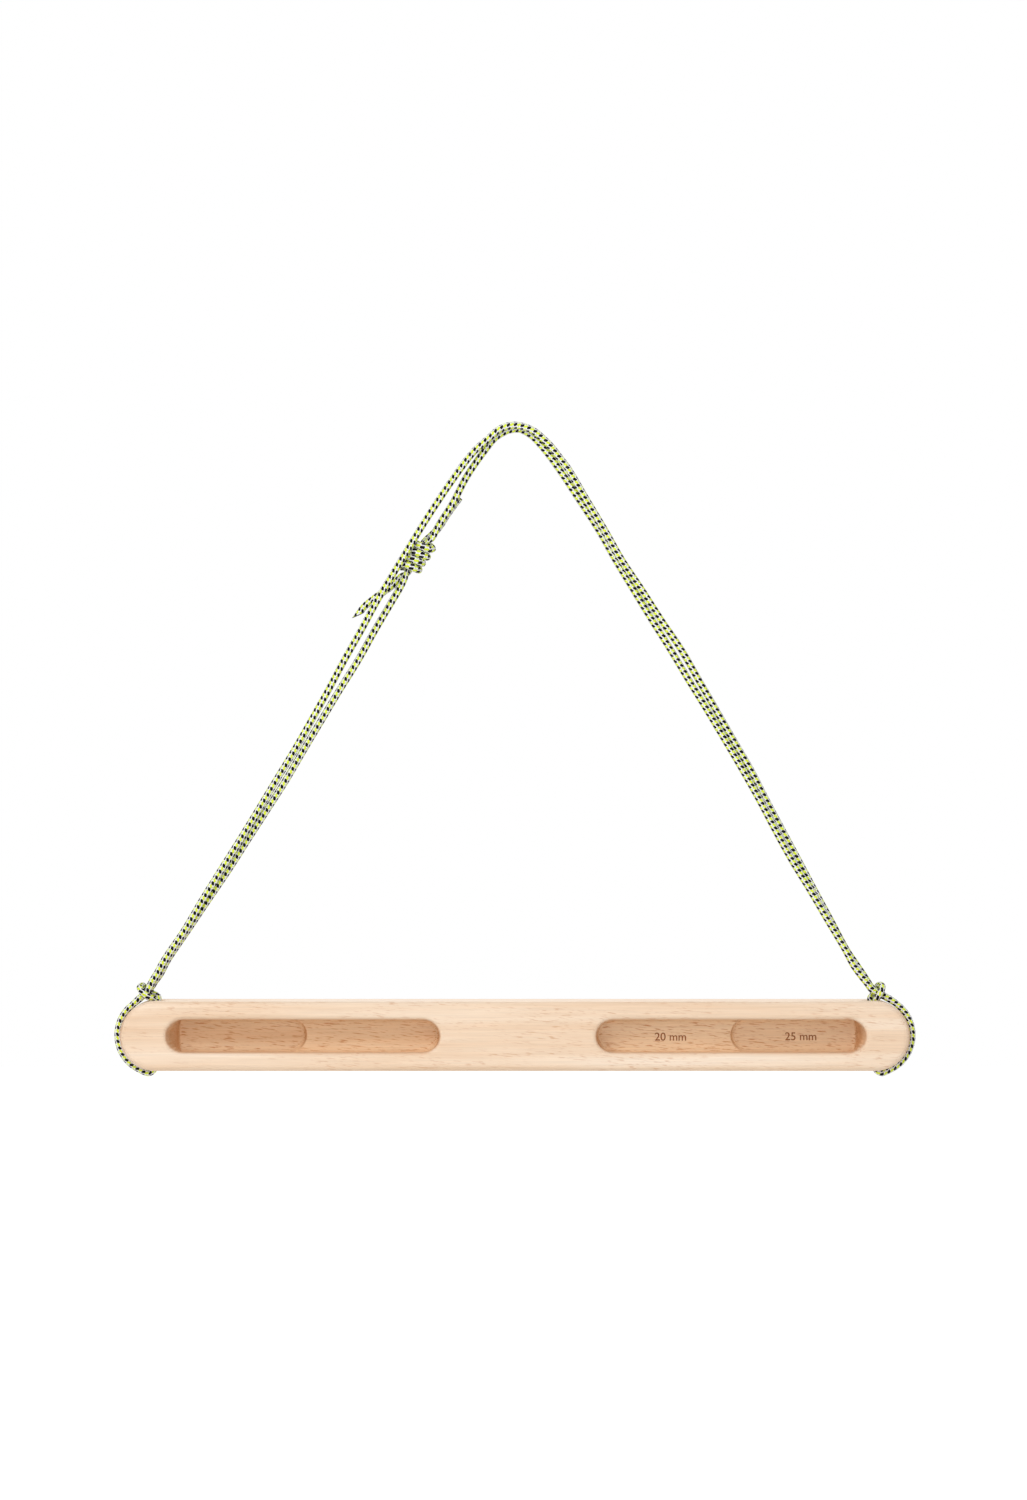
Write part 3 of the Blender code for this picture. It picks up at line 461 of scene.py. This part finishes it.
def end_wrap(side, y):
    """The cord where it lies on the bar's round end."""
    radius = END_RADIUS + CORD_TO_WOOD + END_WRAP_RADIUS
    start, end = END_WRAP_ANGLES
    points = []
    for i in range(END_WRAP_STEPS + 1):
        angle = math.radians(start + (end - start) * i / END_WRAP_STEPS)
        x = side * (END_CENTRE_X + radius * math.cos(angle))
        points.append(Vector((x, y, BAR_CENTRE_Z + radius * math.sin(angle), END_WRAP_RADIUS)))
    return points


def loop_over(crossing):
    """A hitch's loop where it bends over both strands, front half first: (out, up, y)."""
    (out, up), (along_out, along_up) = crossing
    across_out, across_up = -along_up, along_out
    offset = (CORD_RADIUS + BIGHT_RADIUS + LOOP_GAP) / MM
    reach = STRAND_Y / MM + offset
    front = []
    for angle in LOOP_ANGLES:
        turn = math.radians(angle)
        y = -(STRAND_Y / MM) - offset * math.cos(turn)
        front.append((LOOP_TILT * -y / reach, offset * math.sin(turn), y))
    halves = front + [(-tilt, rise, -y) for tilt, rise, y in reversed(front)]
    return [
        (out + along_out * tilt + across_out * rise, up + along_up * tilt + across_up * rise, y)
        for tilt, rise, y in halves
    ]


def half_hitch(side, strand, y):
    """One strand down, round the end of the bar and up its hole."""
    points = [end_point(side, out, up, strand_y) for out, up, strand_y in strand]
    points += end_wrap(side, y)
    points += [end_point(side, out, up, y / MM, END_WRAP_RADIUS) for out, up in LOWER_TURN]
    points += [end_point(side, out, up, y / MM * HOLE_SQUEEZE, BIGHT_RADIUS) for out, up in HOLE_RUN]
    return points


def bight(side, crossing, mouths):
    """The hitch's loop, from the hole's top mouth over both strands and back."""
    way_out, way_in = mouths
    loop = way_out + tuple(loop_over(crossing)) + way_in
    return [end_point(side, out, up, y, BIGHT_RADIUS) for out, up, y in loop]


def knot_point(mirrored, out, angle, height, radius):
    """A point in the knot, from its distance off the axis, its angle in degrees and its height along it."""
    if mirrored:
        # the other end of the cord goes the same way, with the knot turned end for end
        angle = 540 - angle
        height = -height
    axis = Vector((math.sin(KNOT_LEAN), 0, math.cos(KNOT_LEAN)))
    right = Vector((math.cos(KNOT_LEAN), 0, -math.sin(KNOT_LEAN)))
    place = KNOT_CENTRE + axis * height + right * out * math.cos(math.radians(angle))
    place.y += out * math.sin(math.radians(angle))
    return Vector((*place, radius))


def wrap_height(angle):
    """A wrap's height along the knot's axis at an angle in degrees: it starts 1.5 turns below the middle."""
    return KNOT_PITCH * ((angle - 270) / 360 - 1.5)


def knot_end(mirrored, tail):
    """One end of the cord through the double fisherman's knot, out to its tail."""
    entry = LOWER_ENTRY if mirrored else UPPER_ENTRY
    low = wrap_height(180)
    tuck = wrap_height(705)
    # (distance off the axis, angle, height, the cord's radius)
    steps = [
        # beside the other end's wraps, down the knot's core
        (*entry[0], 15.0 * MM, 2.1 * MM),
        (*entry[1], 12.0 * MM, 1.6 * MM),
        (CORE_OFFSET, 270, 7.0 * MM, CORE_RADIUS),
        (CORE_OFFSET, 258, 4.0 * MM, CORE_RADIUS),
        (CORE_OFFSET, 234, 2.0 * MM, CORE_RADIUS),
        (CORE_OFFSET, 210, 0.0, CORE_RADIUS),
        (CORE_OFFSET, 186, -2.0 * MM, CORE_RADIUS),
        (CORE_OFFSET, 162, -4.0 * MM, CORE_RADIUS),
        (CORE_OFFSET, 150, -6.0 * MM, CORE_RADIUS),
        (CORE_OFFSET, 150, low + 1.3 * MM, CORE_RADIUS),
        # out at the bottom and into the first wrap
        (CORE_OFFSET + 0.15 * MM, 150, low - 0.4 * MM, CORE_RADIUS),
        (CORE_OFFSET + 0.95 * MM, 154, low - 1.8 * MM, 1.7 * MM),
        (WRAP_OFFSET - 2.0 * MM, 162, low - 2.4 * MM, 1.95 * MM),
        (WRAP_OFFSET - 0.8 * MM, 174, low - 2.0 * MM, 2.1 * MM),
        (WRAP_OFFSET - 0.1 * MM, 190, low - 1.3 * MM, WRAP_RADIUS),
        (WRAP_OFFSET, 207, low - 0.4 * MM, WRAP_RADIUS),
    ]
    for angle in range(225, 691, WRAP_STEP):
        steps.append((WRAP_OFFSET, angle, wrap_height(angle), WRAP_RADIUS))
    steps += [
        # off the last wrap, and back through the core under both of them
        (WRAP_OFFSET - 0.2 * MM, 705, tuck, WRAP_RADIUS),
        (WRAP_OFFSET - 0.8 * MM, 718, tuck, 2.2 * MM),
        (WRAP_OFFSET - 1.6 * MM, 731, tuck - 0.2 * MM, 2.0 * MM),
        (CORE_OFFSET + 1.7 * MM, 742, tuck - 0.8 * MM, 1.75 * MM),
        (CORE_OFFSET + 0.8 * MM, 748, tuck - 1.9 * MM, 1.6 * MM),
        (CORE_OFFSET + 0.1 * MM, 750, tuck - 3.8 * MM, CORE_RADIUS),
        (CORE_OFFSET, 750, tuck - 7.0 * MM, CORE_RADIUS),
        (CORE_OFFSET + 0.3 * MM, 770, tuck - 11.0 * MM, 1.6 * MM),
    ]
    return [knot_point(mirrored, *step) for step in steps] + full_strand(tail)


# The cord's surface


def between(before, start, end, after, share):
    """A point of the centripetal Catmull-Rom curve from start to end."""
    knots = [0.0]
    for a, b in ((before, start), (start, end), (end, after)):
        knots.append(knots[-1] + max((b - a).to_3d().length, 1e-9) ** 0.5)
    t0, t1, t2, t3 = knots
    t = t1 + (t2 - t1) * share
    a1 = before * ((t1 - t) / (t1 - t0)) + start * ((t - t0) / (t1 - t0))
    a2 = start * ((t2 - t) / (t2 - t1)) + end * ((t - t1) / (t2 - t1))
    a3 = end * ((t3 - t) / (t3 - t2)) + after * ((t - t2) / (t3 - t2))
    b1 = a1 * ((t2 - t) / (t2 - t0)) + a2 * ((t - t0) / (t2 - t0))
    b2 = a2 * ((t3 - t) / (t3 - t1)) + a3 * ((t - t1) / (t3 - t1))
    return b1 * ((t2 - t) / (t2 - t1)) + b2 * ((t - t1) / (t2 - t1))


def smoothed(route):
    """Points a ring's step apart on one smooth curve through the route."""
    ends = [route[0] * 2 - route[1]] + route + [route[-1] * 2 - route[-2]]
    points = [route[0]]
    for before, start, end, after in zip(ends, ends[1:], ends[2:], ends[3:]):
        count = max(1, round((end - start).to_3d().length / CORD_RING_STEP))
        points += [between(before, start, end, after, (i + 1) / count) for i in range(count)]
    return points


def turn_at(turns, length):
    """The share of a turn at a length, on straight lines between the table's rows."""
    if length <= turns[0][0]:
        return turns[0][1]
    for (start, before), (end, after) in zip(turns, turns[1:]):
        if length <= end:
            return before + (after - before) * (length - start) / (end - start)
    return turns[-1][1]


def rings_round(points):
    """A ring of corners round each point, none turned against the one before, and the length up to it."""
    angles = [2 * math.pi * k / CORD_SIDES for k in range(CORD_SIDES)]
    rings = []
    lengths = []
    side = None
    length = 0.0
    for i, point in enumerate(points):
        here = point.to_3d()
        ahead = (points[min(i + 1, len(points) - 1)] - points[max(i - 1, 0)]).to_3d().normalized()
        if side is None:
            side = ahead.cross(Vector((0, -1, 0))).normalized()
        else:
            length += (here - points[i - 1].to_3d()).length
            side = (side - ahead * side.dot(ahead)).normalized()
        up = ahead.cross(side)
        rings.append([here + (side * math.cos(a) + up * math.sin(a)) * point.w for a in angles])
        lengths.append(length)
    return rings, lengths


def tube_faces(ring_count):
    """The faces between the rings, and a fan on each end. The fans' middles come after all the rings."""
    n = CORD_SIDES
    first = ring_count * n
    faces = []
    for start in range(0, first - n, n):
        for k in range(n):
            after = (k + 1) % n
            faces.append((start + k, start + after, start + n + after, start + n + k))
    faces += [(first, (k + 1) % n, k) for k in range(n)]
    faces += [(first + 1, first - n + k, first - n + (k + 1) % n) for k in range(n)]
    return faces


def map_round_and_along(mesh, along, turns):
    """U goes once round the cord, turned as the braid is. V counts the flecks' periods along it."""
    n = CORD_SIDES
    layer = mesh.uv_layers.new(name="round_and_along")
    for polygon in mesh.polygons:
        wraps = any(mesh.loops[c].vertex_index % n == n - 1 for c in polygon.loop_indices)
        for corner in polygon.loop_indices:
            vertex = mesh.loops[corner].vertex_index
            k = n if vertex % n == 0 and wraps else vertex % n
            turned = k / n + turn_at(turns, along[vertex])
            layer.data[corner].uv = (turned, along[vertex] / MM / FLECK_PERIOD_MM)


def cord_piece(name, route, material, turns, cut_facing):
    """A stretch of the cord as one tube, cut and sealed at its far end: (piece, path, length).

    turns says how far the braid has turned along it. The cut faces cut_facing, or straight ahead for None.
    """
    points = smoothed(route)
    # One more ring close to the end, so that only the very tip is dark
    points.insert(-1, points[-1].lerp(points[-2], TIP_DARK / CORD_RING_STEP))
    rings, lengths = rings_round(points)
    length = lengths[-1]

    # The far end is sealed by melting, so its edge is a little rounded
    ahead = (points[-1] - points[-2]).to_3d().normalized()
    centre = points[-1].to_3d()
    last_ring = rings[-1]
    for rise, width in SEALED_END:
        rings.append([centre + (p - centre) * width + ahead * CORD_RADIUS * rise for p in last_ring])
        lengths.append(length + CORD_RADIUS * rise)
    vertices = [p for ring in rings for p in ring]
    along = [at for at in lengths for _ in range(CORD_SIDES)]

    # It is cut at a slant, which dies away over the last of the cord
    facing = Vector(cut_facing or ahead).normalized()
    for i, p in enumerate(vertices):
        share = 1 - max(length - along[i], 0.0) / CUT_REACH
        if share > 0:
            across = (p - centre) - ahead * (p - centre).dot(ahead)
            shift = -across.dot(facing) / ahead.dot(facing) * share
            vertices[i] = p + ahead * shift
            along[i] += shift
    vertices += [points[0].to_3d(), centre + ahead * CORD_RADIUS * SEALED_END[-1][0]]
    along += [0.0, length]

    mesh = bpy.data.meshes.new(name)
    mesh.from_pydata(vertices, [], tube_faces(len(rings)))
    map_round_and_along(mesh, along, turns)
    burnt = [0.0] * len(vertices)
    for i in range((len(points) - 1) * CORD_SIDES, len(rings) * CORD_SIDES):
        burnt[i] = 1.0
    burnt[-1] = 1.0
    mesh.attributes.new("melted", "FLOAT", "POINT").data.foreach_set("value", burnt)
    mesh.materials.append(material)
    mesh.shade_smooth()
    return placed(name, mesh), [p.to_3d() for p in points], length


def hang_cord(material):
    """The one cord, in two pieces that meet out of sight in the bar's left hole."""
    left_front = half_hitch(-1, LEFT_FRONT_STRAND, -STRAND_Y)
    left_rear = half_hitch(-1, LEFT_REAR_STRAND, STRAND_Y)
    left_loop = bight(-1, LEFT_CROSSING, LEFT_MOUTH)
    right_front = half_hitch(1, RIGHT_FRONT_STRAND, -STRAND_Y)
    right_rear = half_hitch(1, RIGHT_REAR_STRAND, STRAND_Y)
    right_loop = bight(1, RIGHT_CROSSING, RIGHT_MOUTH)
    meeting = end_point(-1, *MEETING, STRAND_Y / MM * HOLE_SQUEEZE, BIGHT_RADIUS)
    # Up the rear of the left leg into the knot
    rear = [meeting] + left_rear[:-1][::-1] + full_strand(LOWER_STRAND) + knot_end(True, UPPER_TAIL)
    # Back over the left loop, up over the hook, round the right end, over the hook again, into the knot
    main = [meeting, left_rear[-1]] + left_loop[::-1] + left_front[::-1] + full_strand(OUTER_STRAND)
    main += right_rear + right_loop[::-1] + right_front[::-1] + full_strand(INNER_STRAND)
    main += knot_end(False, LOWER_TAIL)
    main_nodes = ("left_hitch", "right_hitch", "outer_strand", "knotted_strand_upper")
    for name, route, turns, cut_facing, nodes in (
        ("cord_left_rear_leg", rear, REAR_TURNS, None, ("knotted_strand_lower",)),
        ("cord_main", main, MAIN_TURNS, LOWER_CUT_FACING, main_nodes),
    ):
        piece, path, length = cord_piece(name, route, material, turns, cut_facing)
        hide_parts(*nodes)
        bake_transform(piece)
        print(f"{name}: {length:.3f} m")


# The size marks


def floor_mark(name, words, x, depth, material):
    """A size burnt into the floor of a pocket of that depth, square to the front."""
    data = bpy.data.curves.new(name, "FONT")
    data.body = words
    data.size = MARK_HEIGHT
    data.align_x = "CENTER"
    data.align_y = "CENTER"
    data.extrude = MARK_RELIEF
    data.offset = MARK_STROKE
    text = placed(name, data)
    text.rotation_euler = (math.pi / 2, 0, 0)
    text.location = (x, depth - HALF_THICKNESS - MARK_LIFT, MARK_Z)
    bpy.context.view_layer.update()
    graph = bpy.context.evaluated_depsgraph_get()
    mesh = bpy.data.meshes.new_from_object(text.evaluated_get(graph))
    mesh.transform(text.matrix_world)
    bpy.data.objects.remove(text, do_unlink=True)
    mesh.name = name
    mesh.materials.clear()
    mesh.materials.append(material)
    made = placed(name, mesh)
    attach(made, "board")


# Light and floor


def lamp(name, place, target, size, watts):
    """A soft rectangular lamp pointed at the target."""
    data = bpy.data.lights.new(name, "AREA")
    data.shape = "RECTANGLE"
    data.size, data.size_y = size
    data.energy = watts
    made = placed(name, data)
    made.location = place
    made.rotation_euler = (Vector(target) - Vector(place)).to_track_quat("-Z", "Y").to_euler()


def seen_directly(tree):
    """1 for what the camera sees, also mirrored or through glass, and 0 for light that falls on things."""
    rays = add(tree, "LightPath", output=None)
    seen = add(tree, "Math", (rays["Is Camera Ray"], rays["Is Glossy Ray"]), operation="MAXIMUM")
    return add(tree, "Math", (seen, rays["Is Transmission Ray"]), operation="MAXIMUM")


def white_room():
    """White to the eye, with a softer white light from all round."""
    world = bpy.data.worlds.new("studio")
    bpy.context.scene.world = world
    world.use_nodes = True
    tree = world.node_tree
    tree.nodes.clear()
    light = add(tree, "Background", {"Color": linear(WHITE), "Strength": ROOM_LIGHT})
    backdrop = add(tree, "Background", {"Color": linear(WHITE), "Strength": 1.0})
    add(tree, "OutputWorld", (add(tree, "MixShader", (seen_directly(tree), light, backdrop)),), None)


def pale_floor():
    """Matt off-white paint, lit from within for the eye: white, and a little less where a shadow falls."""
    bpy.ops.mesh.primitive_plane_add(size=FLOOR_SIZE, location=(0, 0, FLOOR_Z))
    floor = bpy.context.object
    floor.name = "floor"
    material, tree = empty_material("pale_floor")
    paint = {
        "Base Color": linear("#F4F3F1"),
        "Roughness": 0.9,
        "Emission Color": linear(WHITE),
        "Emission Strength": add(tree, "Math", (seen_directly(tree), FLOOR_GLOW), operation="MULTIPLY"),
    }
    add(tree, "OutputMaterial", {"Surface": add(tree, "BsdfPrincipled", paint)}, None)
    floor.data.materials.append(material)


camera()
hang_cord(braided_cord())
bar = bpy.data.objects["wooden_bar"]
bar.data.materials.clear()
bar.data.materials.append(rubberwood())
marks = burnt_mark()
floor_mark("mark_20_mm", "20 mm", 100.8 * MM, 20 * MM, marks)
floor_mark("mark_25_mm", "25 mm", 185.4 * MM, 25 * MM, marks)
bpy.context.scene.view_settings.view_transform = "Standard"
white_room()
pale_floor()
for row in LAMPS:
    lamp(*row)
